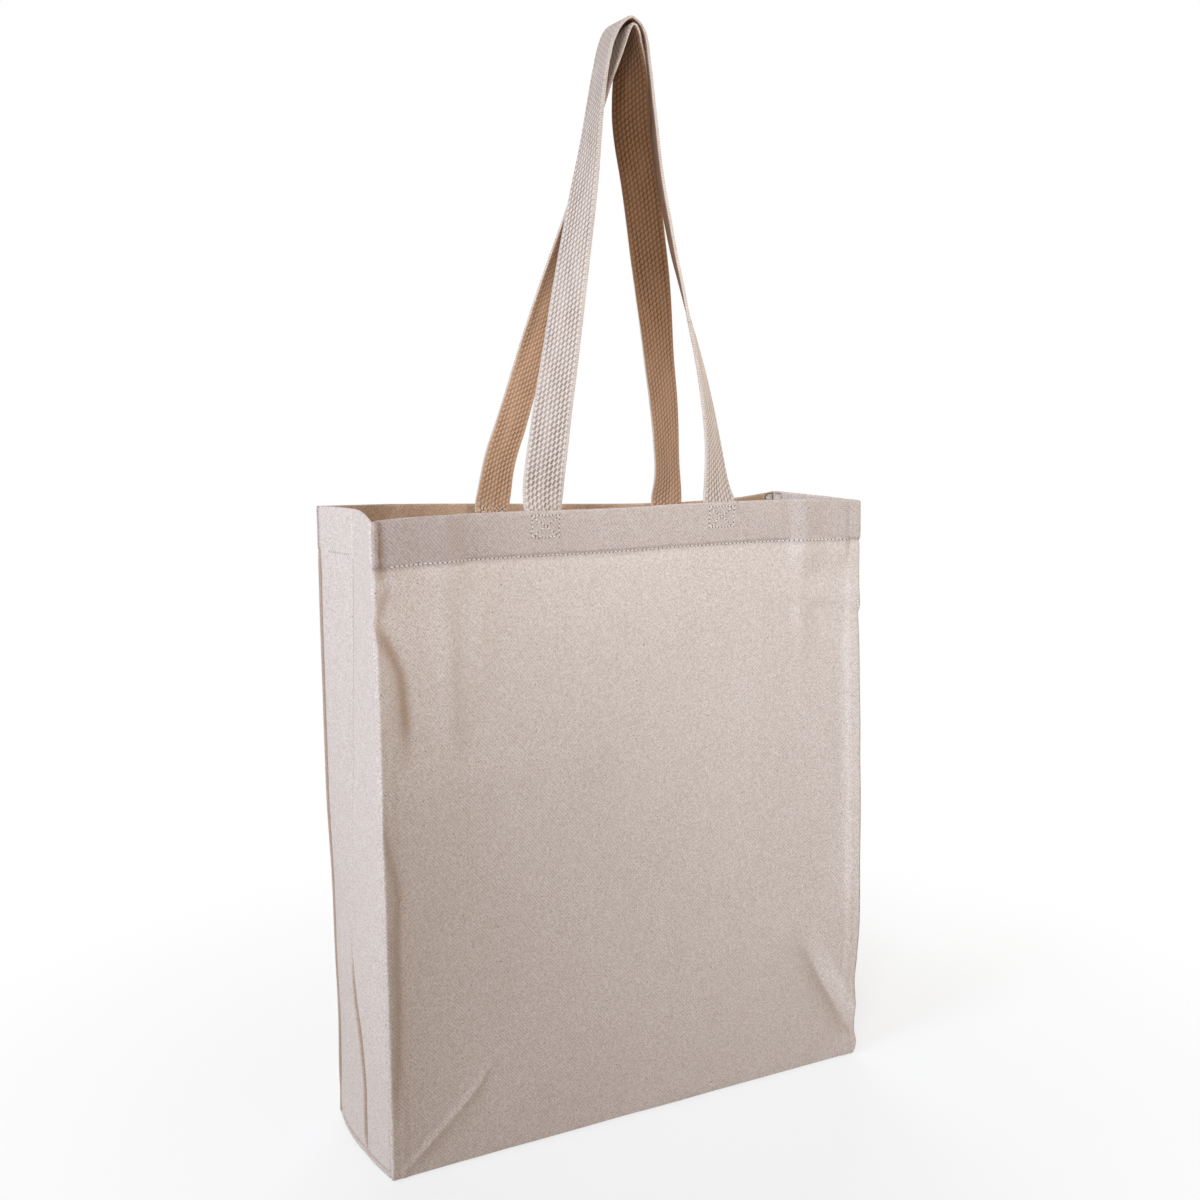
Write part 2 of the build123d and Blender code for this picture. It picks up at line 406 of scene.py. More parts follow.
def read_line(place, stops):
    """The amount at a place on a soft line through (place, amount) stops."""
    if place <= stops[0][0]:
        return stops[0][1]
    if place >= stops[-1][0]:
        return stops[-1][1]
    here = next(index for index in range(len(stops) - 1) if place <= stops[index + 1][0])
    (start, low), (end, high) = stops[here], stops[here + 1]
    before, after = stops[max(here - 1, 0)], stops[min(here + 2, len(stops) - 1)]
    run = end - start
    leave = (high - before[1]) / (end - before[0]) * run
    arrive = (after[1] - low) / (after[0] - start) * run
    t = (place - start) / run
    return (low * (1 + 2 * t) * (1 - t) ** 2 + leave * t * (1 - t) ** 2
            + high * (3 - 2 * t) * t ** 2 - arrive * (1 - t) * t ** 2)


def beside(x, z, line):
    """The distance from a drawn line, plus on its right hand and minus on its left."""
    nearest = 1e9
    for (x0, z0), (x1, z1) in zip(line, line[1:]):
        run_x, run_z = x1 - x0, z1 - z0
        share = ((x - x0) * run_x + (z - z0) * run_z) / (run_x ** 2 + run_z ** 2)
        share = min(1.0, max(0.0, share))
        off_x, off_z = x - x0 - share * run_x, z - z0 - share * run_z
        away = math.hypot(off_x, off_z)
        if away < abs(nearest):
            nearest = math.copysign(away, off_x * run_z - off_z * run_x)
    return nearest


def slack(across, up, seed):
    """The faint unevenness of hanging cloth, in millimetres."""
    wide = noise.noise(Vector((across / 75, up / 95, seed)))
    fine = noise.noise(Vector((across / 26, up / 34, seed + 7.3)))
    return 0.9 * wide + 0.3 * fine


print("halfway between two stops:", read_line(5, [(0, 0), (10, 1)]))

# %% [markdown]
# ## Room for the folded gussets
# When the bag is folded flat, half of each gusset swings in behind a panel and almost touches it. A panel
# that sinks too far beside its seam would then cut through the gusset. `kept_clear` holds each panel to the
# room there is: it grows with the distance from the seam, and shrinks where the gusset's crease is drawn in
# and at the thick hem.

# %% Room behind the panels
hem_depth, half_gusset = 31.75, 48.0
left_crease = [(0, -4.2), (10, -4.0), (23, -3.4), (47, -3.0), (75, -4.0), (105, -4.8), (162, -3.4),
               (228, -0.8), (293, 2.0), (343, 3.7), (385, 5.0), (406, 5.4)]
right_crease = [(0, -2.6), (30, -2.6), (90, -3.8), (170, -2.6), (240, 0.2), (300, 1.7), (350, 3.2),
                (406, 4.6)]


def room_behind(x, z):
    """How far a panel may sink at a place before it meets the gusset folded behind it."""
    from_edge = half_width - abs(x)
    wedge = min(2.0 + 0.17 * from_edge, 7.2)
    crease = read_line(z, left_crease if x < 0 else right_crease)
    drawn_in = min(1.0, from_edge / half_gusset) * (1 - ease(from_edge, half_gusset - 5, half_gusset + 25))
    hem_layers = 3.4 * ease(z, rim - hem_depth - 26, rim - hem_depth) * ease(from_edge, 7, 12)
    past_crease = 0.012 * max(0.0, from_edge - half_gusset + 4) ** 2
    return wedge - crease * drawn_in - hem_layers + past_crease


def kept_clear(deep, x, z):
    """A depth eased back to the room there is."""
    over = deep - room_behind(x, z)
    return deep - 0.5 * (over + math.sqrt(over * over + 0.3))


print("room 20 mm from the left seam:", round(room_behind(20 - half_width, 280), 2), "mm")

# %% [markdown]
# ## The folds of the front panel
# The front hangs from a stiff hem and from its side seams, so it sinks a few millimetres behind them. On
# the left the seam stands proud and throws a soft shadow, one crease runs up from the lower left corner,
# the lower right corner is dented, and the rim bows in between the side seams. Each is one short line
# below, in millimetres inward.

# %% Front panel folds
left_valley = [(30, 3), (60, 5), (86, 6.8), (122, 7.8), (144, 7.5), (180, 9.5), (197, 6.8), (212, 3.4),
               (235, 2.4), (252, 15.8), (270, 16.8), (292, 16.3), (314, 13.8), (330, 7.5), (343, 2),
               (357, 1.5), (380, 5)]
corner_crease = [(-168, 4), (-161.9, 9.6), (-134.6, 31.4), (-120, 43.7), (-112.9, 51.9), (-104, 63)]
corner_dent = [(128, 98), (135.9, 84.7), (151.3, 59.2), (164.7, 34.6), (177, 14)]
front_bow = [(0, 0.4), (30, 1.8), (70, 5.0), (130, 9.0), (200, 11.6), (280, 11.0), (350, 7.4), (406, 5.0)]
pinch_line = [(-169.2, 366.7), (-172.6, 357), (-175.9, 350.2), (-178, 346)]
side_fold = [(104, 344), (129, 339), (152, 334), (178, 329)]
front_rim = [(-178, -0.9), (-165, 0.6), (-117, 1.5), (-14, 0.5), (46, 1.4), (126, 1.0), (170, -0.6),
             (178, -1.8)]
front_right_edge = [(0, 0.2), (4, 2.6), (10, 3.6), (24, 4.0), (55, 1.6), (70, 3.2), (100, 5.6), (145, 5.2),
                    (190, 5.0), (219, 4.0), (263, 3.0), (306, 1.6), (349, 0.5), (391, 0.5), (406, 0.2)]


def edge_padding(from_edge, z):
    """The doubled allowance behind a seam holds the cloth out a little, most of all along the sewn edge."""
    sides = -0.7 * (1 - ease(from_edge, 8, 12)) - 0.5 * (1 - ease(from_edge, 2.0, 4.5))
    foot = -0.7 * (1 - ease(z, 8, 11)) * ease(from_edge, 2, 10)
    return sides + foot


def hem_relief(x, z):
    """A hem is stiffer and thicker than the cloth below it, and its stitches pull it in."""
    pucker = 0.16 * math.sin(x * 0.57 + 3 * noise.noise(Vector((x / 30, 0, 2)))) * bump_at(z, stitch_z, 8)
    ripple = 0.7 * noise.noise(Vector((x / 24, 3, 1))) * ease(z, stitch_z, stitch_z + 12)
    return 0.7 * bump_at(z, stitch_z, 1.5) - 0.9 * ease(z, stitch_z - 0.5, stitch_z + 2.5) + pucker + ripple


def front_folds(x, z):
    """How far the front panel lies inward of flat."""
    from_left, from_right = half_width + x, half_width - x
    from_edge = min(from_left, from_right)
    deep = edge_padding(from_edge, z) + hem_relief(x, z)
    deep += (1 - (x / half_width) ** 2) * read_line(z, front_bow)
    # The valley beside the left seam, which is shallow at mid height and nipped at the hem.
    valley = read_line(z, left_valley)
    sunk = 2.0 * ease(z, 20, 90) * (1 - 0.85 * bump_at(z, 243, 13)) * (1 - 0.6 * ease(z, 341, 381))
    sunk *= 1 - 0.8 * ease(from_left, 40, 170)
    deep += sunk * ease(from_left, 1.0, valley + 3)
    deep += 3.2 * bump_at(from_left, valley + 1, 4.6) * span(z, 252, 300, 348, 372)
    deep += 1.4 * bump_at(from_left, valley + 1, 3.2) * span(z, 40, 90, 205, 232)
    nip = 4.4 + 0.6 * noise.noise(Vector((z / 6, 0, 4)))
    deep += 3.0 * bump_at(from_left, nip, 2.5) * ease(z, stitch_z - 13, stitch_z + 3)
    deep += 2.6 * bump_at(beside(x, z, pinch_line), 0, 4.0) * (1 - ease(z, 358, 372))
    # A shallow trough beside the right seam.
    deep += 1.3 * span(from_right, 4, 16, 20, 90) * ease(z, 90, 140)
    # The crease from the lower left corner and the dent at the lower right one.
    ridge = beside(x, z, corner_crease)
    hollow = 0.4 * span(ridge, -4.5, 3, 6, 26) - 1.6 * bump_at(ridge, -1.0, 2.1)
    deep += span(z, 3, 12, 40, 66) * hollow
    dent = beside(x, z, corner_dent)
    pinch = 6.0 * span(z, 5, 24, 64, 104)
    deep += pinch * (math.exp(-dent / 8) if dent > 0 else max(0.0, 1 + dent / 12))
    # The fold below the hem on the right and a soft ridge below it on the left.
    fold = beside(x, z, side_fold)
    deep += (2.4 * ease(fold, -3.0, 3.0) - 1.2) * bump_at(fold, 0, 15) * ease(x, 104, 136)
    deep -= 1.1 * bump_at(x, -108, 5.5) * span(z, 292, 325, stitch_z - 12, stitch_z - 3)
    return kept_clear(deep + slack(x, z, 1.0) * ease(from_edge, 4, 30), x, z)


def front_shift(x, z):
    """The right edge leans outward low down and is nipped in at the dent."""
    right = read_line(z, front_right_edge)
    left = 1.3 * bump_at(z, 352, 6) - 0.8
    return right * (1 - ease(half_width - x, 0, 110)) + left * (1 - ease(half_width + x, 0, 14))


def front_painted_shade(x, z):
    """How much painted shade the front has: along its right seam and in the folds beside its left one."""
    from_left = half_width + x
    valley = read_line(z, left_valley) + 1
    uneven = 0.4 + 0.3 * noise.noise(Vector((z / 5, 0, 4)))
    brown = 0.65 * ease(x, half_width - 1.6, half_width - 0.4)
    brown += uneven * bump_at(from_left, 4.2, 2.2) * ease(z, stitch_z - 11, stitch_z + 1)
    brown += 0.65 * bump_at(from_left, valley, 4) * span(z, 252, 290, 335, 350)
    brown += 0.3 * bump_at(from_left, valley, 3.2) * span(z, 30, 80, 205, 232)
    brown += 0.4 * bump_at(beside(x, z, pinch_line), 0, 3.2) * (1 - ease(z, 360, 370))
    return min(1.0, brown + 0.25 * bump_at(z, stitch_z - 4, 3.5) * bump_at(from_left, 4, 14))


print("front panel sinks", round(front_folds(-150, 290), 2), "mm beside its left seam")

# %% [markdown]
# ## The back panel and a panel's place
# The back isn't seen from the front, so it gets the same kind of folds with its own lines: the rim bows in
# and dips on the right, and the lower corners crease where the base pulls at them. `on_panel` then turns a
# flat place on either panel into a point in space, which is also how the seams, stitches and straps find
# their cloth.

# %% Back panel folds
back_valley = [(30, 4), (90, 9), (150, 6), (210, 14), (270, 8), (330, 5), (380, 4)]
back_crease = [(150, 4), (131, 24), (118, 47), (113, 66)]
back_diagonal = [(-172, 16), (-150, 40), (-135, 78)]
back_rim = [(-178, 3.4), (-123, 2.6), (-73, 1.0), (27, -3.0), (68, -4.0), (111, -4.0), (142, -3.0),
            (178, 0.6)]


def back_folds(x, z):
    """How far the back panel lies inward of flat."""
    from_left, from_right = half_width + x, half_width - x
    from_edge = min(from_left, from_right)
    deep = edge_padding(from_edge, z) + hem_relief(x, z)
    bow = 4.9 * ease(z, 180, rim) - 1.4 * math.sin(math.pi * min(z, 240) / 240)
    deep += (1 - (x / half_width) ** 2) * bow
    valley = read_line(z, back_valley)
    sunk = 3.2 * ease(z, 20, 90) * (1 - 0.6 * ease(z, 341, 381))
    deep += sunk * ease(from_right, valley - 4, valley + 6) * (1 - 0.85 * ease(from_right, 25, 140))
    deep += 0.6 * sunk * ease(from_left, valley - 2, valley + 9) * (1 - 0.85 * ease(from_left, 25, 120))
    deep -= 1.3 * bump_at(beside(x, z, back_crease), 0, 4)
    deep += 1.8 * bump_at(beside(x, z, back_diagonal), 0, 9)
    deep -= 0.7 * bump_at(x, 92, 7) * span(z, 300, 340, stitch_z - 12, stitch_z - 3)
    return kept_clear(deep + slack(x, z, 5.0) * ease(from_edge, 4, 30), x, z)


def back_shift(x, z):
    """The rear left edge bellies outward in its upper half."""
    left = -2.0 * ease(z, 150, 230) * (1 - 0.3 * ease(z, 330, 404)) + 0.9 * bump_at(z, 70, 34)
    return left * (1 - ease(half_width + x, 0, 80))


def back_painted_shade(x, z):
    """How much painted shade the back has: along its left seam, below the hem."""
    return 0.6 * ease(-x, half_width - 3.0, half_width - 1.4) * (1 - ease(z, stitch_z - 7, stitch_z + 3))


lifted_from = 290                    # height above which the lift of a rim draws the cloth up
front = dict(name="front", face=-1, folds=front_folds, lift=front_rim, shift=front_shift, painted_shade_at=front_painted_shade)
back = dict(name="back", face=1, folds=back_folds, lift=back_rim, shift=back_shift, painted_shade_at=back_painted_shade)


def on_panel(panel, x, z, inward=0.0):
    """The point, in millimetres, at a flat place on a panel and some way inward of its cloth."""
    deep = panel["folds"](x, min(z, rim)) + inward
    raised = read_line(x, panel["lift"]) * ease(z, lifted_from, rim)
    return Vector((x + panel["shift"](x, z), panel["face"] * (cloth_y - deep), z + raised))


print("middle of the front rim at", on_panel(front, 0, rim))

# %% [markdown]
# ## Laying a sheet
# `lay_sheet` makes one grid, moves each of its points where a function says, and stores the flat place of
# the point as UV. `along` spreads the rows of the grid over stretches of different lengths, so that a tight
# turn gets as many rows as it needs and the flat cloth between the turns stays light. `lay_stretches` joins
# the two, and `finish_piece` makes the object.

# %% Helpers for sheets
def along(share, stretches):
    """The distance along a path of (length, rows) stretches at a share of all its rows."""
    row, run = share * sum(rows for _, rows in stretches), 0.0
    for length, rows in stretches:
        if row <= rows:
            return run + length * row / rows
        row, run = row - rows, run + length
    return run


def lay_sheet(bm, columns, rows, place, flip=False):
    """Adds a grid. place turns two shares, 0 to 1, into a point and its flat place, in millimetres."""
    new = bmesh.ops.create_grid(bm, x_segments=columns, y_segments=rows, size=0.5)["verts"]
    flat = bm.loops.layers.uv.get("cloth") or bm.loops.layers.uv.new("cloth")
    laid = {}
    for vert in new:
        point, laid[vert] = place(vert.co.x + 0.5, vert.co.y + 0.5)
        vert.co = Vector(point) * MM
    faces = {face for vert in new for face in vert.link_faces}
    for face in faces:
        for loop in face.loops:
            loop[flat].uv = Vector(laid[loop.vert]) * MM
    if flip:
        bmesh.ops.reverse_faces(bm, faces=list(faces))
    return laid


def lay_stretches(bm, columns, rows, place, flip):
    """Lays a sheet with stretches of columns and rows. place takes the distances from its middle and foot."""
    middle = sum(length for length, _ in columns) / 2

    def spread_out(a, b):
        flat = along(a, columns) - middle, along(b, rows)
        return place(*flat), flat

    counts = [sum(count for _, count in stretches) for stretches in (columns, rows)]
    return lay_sheet(bm, *counts, spread_out, flip)


def finish_piece(bm, name, look, thickness=0.0):
    """Turns a bmesh into a piece with its material and its slot, and gives cloth its thickness."""
    mesh = bpy.data.meshes.new(name)
    bm.normal_update()
    bm.to_mesh(mesh)
    bm.free()
    mesh.shade_smooth()
    for finish in look if isinstance(look, tuple) else (look,):
        mesh.materials.append(finish)
    piece = bpy.data.objects.new(name, mesh)
    bpy.context.collection.objects.link(piece)
    if thickness:
        solid = piece.modifiers.new("cloth thickness", "SOLIDIFY")
        solid.thickness, solid.offset = thickness * MM, 0
        solid.material_offset = len(mesh.materials) - 1
    print(f"{name}: {len(mesh.polygons)} faces")
    return piece


# %% [markdown]
# ## Front and back panels
# A panel's cloth turns under at both sides and at the bottom, where it is sewn, and rolls over at the rim
# into a hem that hangs inside. One grid can do all of it: its columns run round the side turns and its rows
# run from the bottom turn up the outside, over the rim and down the hem. Only the corners of the hem are
# cut away. The hem is two layers thick, so less light comes through it, and the attribute named doubled
# tells the canvas where that is. A second attribute holds how much painted shade each point has.

# %% Panels
turn_radius, rim_radius, hem_radius = 1.3, 0.9, 0.5
flat_x = cloth_x - turn_radius
flat_low, flat_high = canvas / 2 + turn_radius, rim - canvas / 2 - rim_radius
panel_hem_half, gusset_hem_half = 168.5, 37.5
hem_rows = [(hem_depth - rim_radius, 10), (math.pi * hem_radius, 4), (4.0, 1)]
panel_columns = [(math.pi * turn_radius, 8), (80, 52), (2 * flat_x - 150, 62), (70, 44),
                 (math.pi * turn_radius, 8)]
panel_rows = [(math.pi * turn_radius, 8), (70 - flat_low, 44), (stitch_z - 5 - 70, 90), (10, 14),
              (flat_high - stitch_z - 5, 8), (math.pi * rim_radius, 8), *hem_rows]


def round_turn(run, radius):
    """How far a round turn has gone on and aside after a distance along it."""
    return radius * math.sin(run / radius), radius * (1 - math.cos(run / radius))


def row_place(run):
    """The height of a row and how far it is pushed inward, at a distance along the panel's rows."""
    run -= math.pi * turn_radius
    if run < 0:
        down, aside = round_turn(-run, turn_radius)
        return flat_low - down, aside
    if run < flat_high - flat_low:
        return flat_low + run, 0.0
    run -= flat_high - flat_low
    if run < math.pi * rim_radius:
        up, aside = round_turn(run, rim_radius)
        return flat_high + up, aside
    run -= math.pi * rim_radius
    if run < hem_depth - rim_radius:
        return flat_high - run, 2 * rim_radius
    run -= hem_depth - rim_radius
    down, aside = round_turn(min(run, math.pi * hem_radius), hem_radius)
    rest = max(0.0, run - math.pi * hem_radius)
    return rim - hem_depth - down + rest, 2 * rim_radius - aside


def hemmed_piece(name, inside, columns, rows, place, marks, hem_half, flip):
    """A sheet that ends in a hem, with attributes given by functions of its flat place."""
    bm = bmesh.new()
    for mark in marks:
        bm.verts.layers.float.new(mark)
    laid = lay_stretches(bm, columns, rows, place, flip)
    for mark, amount in marks.items():
        layer = bm.verts.layers.float[mark]
        for vert, flat in laid.items():
            vert[layer] = amount(*flat)
    hem_start = sum(length for length, _ in rows[:-len(hem_rows)]) - 0.1
    corners = [face for face in bm.faces if min(laid[vert][1] for vert in face.verts) > hem_start
               and sum(abs(laid[vert][0]) for vert in face.verts) / len(face.verts) > hem_half]
    bmesh.ops.delete(bm, geom=corners, context="FACES")
    # The hem faces the inside of the bag, so it takes the piece's inside finish, mostly the browner one with
    # painted shade.
    for face in bm.faces:
        face.material_index = int(min(laid[vert][1] for vert in face.verts) > hem_start - rim_radius)
    return finish_piece(bm, name, (canvas_look, inside), canvas)


def panel_cloth(panel):
    """One panel with its turned sides and bottom and its hem."""
    def place(c, run):
        z, push = row_place(run)
        turn = max(0.0, abs(c) - flat_x) / turn_radius
        radius = turn_radius + 0.45 * ease(z, stitch_z - 8, stitch_z)
        push *= 1 - 0.5 * min(1.0, turn / math.pi)
        x = min(abs(c), flat_x) * (cloth_x - radius) / flat_x + (radius - push) * math.sin(turn)
        inward = radius * (1 - math.cos(turn)) + math.cos(turn) * push
        return on_panel(panel, math.copysign(x, c), z, inward)

    def doubled(c, run):
        # Painted shade: the hem is darkest at its left end, where it turns away from the light.
        paler = 0.34 * ease(c, -135, -75) + 0.04 * ease(c, -75, 90)
        return (1 - paler) * ease(row_place(run)[0], stitch_z - 4, stitch_z)

    def painted_shade(c, run):
        return panel["painted_shade_at"](c, row_place(run)[0])

    name = panel["name"] + "_panel"
    piece = hemmed_piece(name + "_cloth", canvas_shaded_inside_look, panel_columns, panel_rows, place,
                         dict(doubled=doubled, painted_shade=painted_shade), panel_hem_half, flip=panel["face"] > 0)
    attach(piece, name)
    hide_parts(name)
    return piece


panel_pieces = {panel["name"]: panel_cloth(panel) for panel in (front, back)}

# %% [markdown]
# ## Side gussets
# Each side of the bag is one strip with a pressed crease down its middle. At the top the crease is drawn
# inward, lower down the strip bellies out, and at the foot a small pleat is tucked in.

# %% Gussets
gusset_flat, gusset_turn = 46.5, 1.0
pleat_line = [(5, -15), (13, -11), (48, -8.6), (76, -7.5), (107, -2.2), (130, 0), (160, 1)]
# Painted shade: the left gusset's shaded inside takes the browner canvas, the right one's lit inside the plain
# one.
left = dict(name="left", side=-1, crease=left_crease, seed=11.0, inside=canvas_shaded_inside_look,
            lift=[(-48, -1.6), (-42, -0.2), (-29, 1.6), (-18, 3.0), (-8, 3.8), (20, 4.0), (48, 3.6)])
right = dict(name="right", side=1, crease=right_crease, seed=17.0, inside=canvas_look,
             lift=[(-48, -1.6), (-30, -0.6), (0, 0.4), (30, 0.6), (48, 0.8)])


def gusset_folds(gusset, y, z):
    """How far a gusset lies inward of flat."""
    crease = read_line(z, gusset["crease"])
    off = abs(y) / gusset_flat
    pinched = max(0.0, 1 - math.sqrt(off ** 2 + 0.0009))
    deep = crease * (pinched if crease > 0 else max(0.0, 1 - off ** 2))
    deep += 0.5 * bump_at(y, 1, 1.2) * ease(z, 120, 190)
    # The pleat at the foot: one side tucked under, the other standing proud, and a facet beside it.
    fold = y - read_line(z, pleat_line)
    under = 1 - ease(fold, -0.7, 0.7)
    tucked = 0.9 * under * (1 - ease(-fold, 4, 24)) - 0.7 * (1 - under) * (1 - ease(fold, 2, 22))
    deep += span(z, 4, 14, 96, 150) * (tucked + 0.6 * bump_at(fold, -1.0, 0.9))
    facet = beside(y, z, [(-8, 49), (12, 30), (40, 5)])
    deep -= 0.9 * bump_at(facet, 0, 2.6) * ease(fold, 1, 5) * ease(z, 3, 9)
    # The rear seam, the foot seam and the hem stitches draw the cloth in.
    rear_seam = (1 - ease(gusset_flat - y, 0.0, 3.5)) * ease(z, 10, 40)
    deep += 0.9 * rear_seam * (1 - 0.6 * ease(z, stitch_z - 12, stitch_z + 8))
    deep += 0.7 * bump_at(z, 4.0, 0.9) - 0.5 * (1 - ease(z, 2.6, 4.0))
    deep += 0.3 * bump_at(z, stitch_z, 1.4) - 0.35 * ease(z, stitch_z - 1.5, stitch_z + 4)
    return deep + 0.9 * slack(y * 1.6, z, gusset["seed"]) * ease(gusset_flat - abs(y), 2, 18)


def gusset_painted_shade(y, z):
    """How much painted shade a gusset has: in its pleat, above its foot, in its crease and along its rear seam."""
    fold = y - read_line(z, pleat_line)
    brown = 0.8 * bump_at(fold, -0.4, 0.8) * span(z, 2, 8, 100, 150) + 0.4 * bump_at(z, 4.2, 1.0)
    brown += 0.45 * bump_at(y, 1, 0.8) * span(z, 150, 330, stitch_z - 7, stitch_z + 1)
    rear_seam = (1 - ease(gusset_flat - y, 0.0, 2.0)) * span(z, 8, 30, stitch_z - 9, stitch_z + 1)
    return min(1.0, brown + 0.35 * rear_seam)


def on_gusset(gusset, y, z, inward=0.0):
    """The point, in millimetres, at a flat place on a gusset and some way inward of its cloth."""
    deep = gusset_folds(gusset, y, min(z, rim)) + inward
    edge = front if y < 0 else back
    follow = edge["shift"](gusset["side"] * half_width, z) * (1 - ease(gusset_flat - abs(y), 0, 30))
    raised = read_line(y, gusset["lift"]) * ease(z, lifted_from, rim)
    return Vector((gusset["side"] * (cloth_x - deep) + follow, y, z + raised))


foot_radius, foot_lip = 1.6, 3.5
gusset_low = canvas / 2 + foot_radius
foot_turn, edge_turn = math.pi / 2 * foot_radius, math.pi / 2 * gusset_turn
gusset_columns = [(1.0, 1), (edge_turn, 5), (gusset_flat - 17, 12), (34.0, 50), (gusset_flat - 23, 10),
                  (6.0, 8), (edge_turn, 5), (1.0, 1)]
gusset_rows = [(foot_lip, 3), (foot_turn, 5), (10 - gusset_low, 12), (stitch_z - 15, 106), (10, 12),
               (flat_high - stitch_z - 5, 8), (math.pi * rim_radius, 8), (hem_depth - rim_radius, 9),
               *hem_rows[1:]]


def gusset_row_place(run):
    """The height of a row of a gusset and how far it is pushed inward."""
    foot = foot_lip + foot_turn
    if run < foot:
        down, aside = round_turn(min(foot_turn, foot - run), foot_radius)
        return gusset_low - down, aside + max(0.0, foot_lip - run)
    if run < foot + flat_high - gusset_low:
        return gusset_low + run - foot, 0.0
    return row_place(run - foot - (flat_high - gusset_low) + math.pi * turn_radius + flat_high - flat_low)


def gusset_cloth(gusset):
    """One gusset with its turned edges, foot and hem."""
    def place(c, run):
        z, push = gusset_row_place(run)
        turn = min(math.pi / 2, max(0.0, abs(c) - gusset_flat) / gusset_turn)
        rest = max(0.0, abs(c) - gusset_flat - edge_turn)
        y = min(abs(c), gusset_flat) + gusset_turn * math.sin(turn) - math.sin(turn) * push * 0.5
        inward = gusset_turn * (1 - math.cos(turn)) + rest + math.cos(turn) * push
        return on_gusset(gusset, math.copysign(y, c), z, inward)

    def painted_shade(c, run):
        return gusset_painted_shade(c, gusset_row_place(run)[0])

    name = gusset["name"] + "_gusset"
    piece = hemmed_piece(name + "_cloth", gusset["inside"], gusset_columns, gusset_rows, place,
                         dict(painted_shade=painted_shade), gusset_hem_half, flip=gusset["side"] < 0)
    middle = gusset["side"] * half_width * MM
    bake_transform(piece, name + "_rear", name + "_front", start=(middle, 5 * MM, 0.2), end=(middle, -5 * MM, 0.2))
    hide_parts(name + "_rear", name + "_front")
    return piece


gusset_pieces = {gusset["name"]: gusset_cloth(gusset) for gusset in (left, right)}

# %% [markdown]
# ## Base and tucks
# The base is the same strip running on under the bag. When the bag folds, the base creases up along its
# middle; its two ends, the tucks, ride with the back panel.

# %% Base
base_high = node_box("base_rear")[1]
base_long, base_edge = base_high.x, base_high.y
tuck_inner, tuck_outer = 0.5, 2.4    # gaps at the mitred edge and at the gusset
tuck_overlap = 0.95                  # how far a tuck lies above the gusset's turned foot


def base_sag(x, y):
    """A hanging base isn't flat: it lifts a little inside its seams and along its crease."""
    lifted = 1.1 * (1 - (x / half_width) ** 2) * (1 - (y / base_edge) ** 2)
    return lifted + 0.9 * bump_at(y, 0, 3) + 0.5 * abs(slack(x, y * 2, 23.0))


def base_place(a, b):
    """A point of the middle part of the base, whose ends are mitred."""
    y = base_edge * (2 * b - 1)
    reach = base_long - (base_edge - abs(y))
    x = reach * (2 * a - 1)
    return (x, y, canvas / 2 + base_sag(x, y)), (x, y)


base_columns, tuck_columns, base_rows = 90, 16, 34
bm = bmesh.new()
lay_sheet(bm, base_columns, base_rows, base_place, flip=True)
base_piece = finish_piece(bm, "base_cloth", canvas_look, canvas)
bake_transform(base_piece, "base_rear", "base_front", start=(0, 5 * MM, 0), end=(0, -5 * MM, 0))
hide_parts("base_rear", "base_front")


def tuck_cloth(gusset):
    """The end of the base between the gusset and the mitred edge of its middle part."""
    side = gusset["side"]

    def place(a, b):
        y = base_edge * (2 * b - 1)
        inner = base_long + tuck_inner - (base_edge - abs(y))
        x = inner + (half_width - tuck_outer - inner) * a
        over = tuck_overlap * ease(x, half_width - 18, half_width - 9)
        return (side * x, y, canvas / 2 + over + base_sag(x, y)), (side * x, y)

    bm = bmesh.new()
    lay_sheet(bm, tuck_columns, base_rows, place, flip=side > 0)
    piece = finish_piece(bm, gusset["name"] + "_base_tuck_cloth", canvas_look, canvas)
    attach(piece, "back_panel")
    side * half_width * MM
    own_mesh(piece)
    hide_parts(gusset["name"] + "_base_tuck")
    return piece


tuck_pieces = {gusset["name"]: tuck_cloth(gusset) for gusset in (left, right)}

# %% [markdown]
# ## Seam allowances
# Inside the bag, eight millimetres of cloth from both pieces stand beside every seam. They are two layers
# lying flat on the panel, so each strip is two narrow grids that follow the panel's own folds, one a
# cloth's thickness further in.

# %% Seam allowances
allowance_layers, layer_thickness = (1.0, 1.9), 0.85
clear_of_turn, clear_of_base, clear_of_rim = 1.8, 1.4, 1.6


def seam_strip(panel, edge):
    """The doubled cloth beside one seam of a panel: edge is left, right or base."""
    node = f"{panel['name']}_{edge}_seam"
    low, high = node_box(node)
    columns, rows = (110, 4) if edge == "base" else (4, 130)
    start_x, end_x, start_z, end_z = low.x, high.x, clear_of_base, high.z
    if edge != "base":
        start_x, end_x = low.x + clear_of_turn * (low.x < 0), high.x - clear_of_turn * (high.x > 0)
        start_z, end_z = clear_of_rim, rim - clear_of_rim
    bm = bmesh.new()
    for layer in allowance_layers:
        def place(a, b):
            x, z = start_x + (end_x - start_x) * a, start_z + (end_z - start_z) * b
            return on_panel(panel, x, z, layer), (x + layer, z)
        lay_sheet(bm, columns, rows, place, flip=panel["face"] < 0)
    piece = finish_piece(bm, node + "_cloth", canvas_look, layer_thickness)
    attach(piece, panel["name"] + "_panel")
    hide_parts(node)
    return piece


seam_pieces = {panel["name"]: [seam_strip(panel, edge) for edge in ("left", "right", "base")]
               for panel in (front, back)}

# %% [markdown]
# ## Stitches
# Every stitch is a little bead of thread lying along its seam. One bead has only a few dozen faces, because
# a row repeats it more than a hundred times, and it is made once and copied. Its length lies along the row
# and its flat side on the cloth, which the cloth's own function gives when it is asked for two neighbouring
# points.

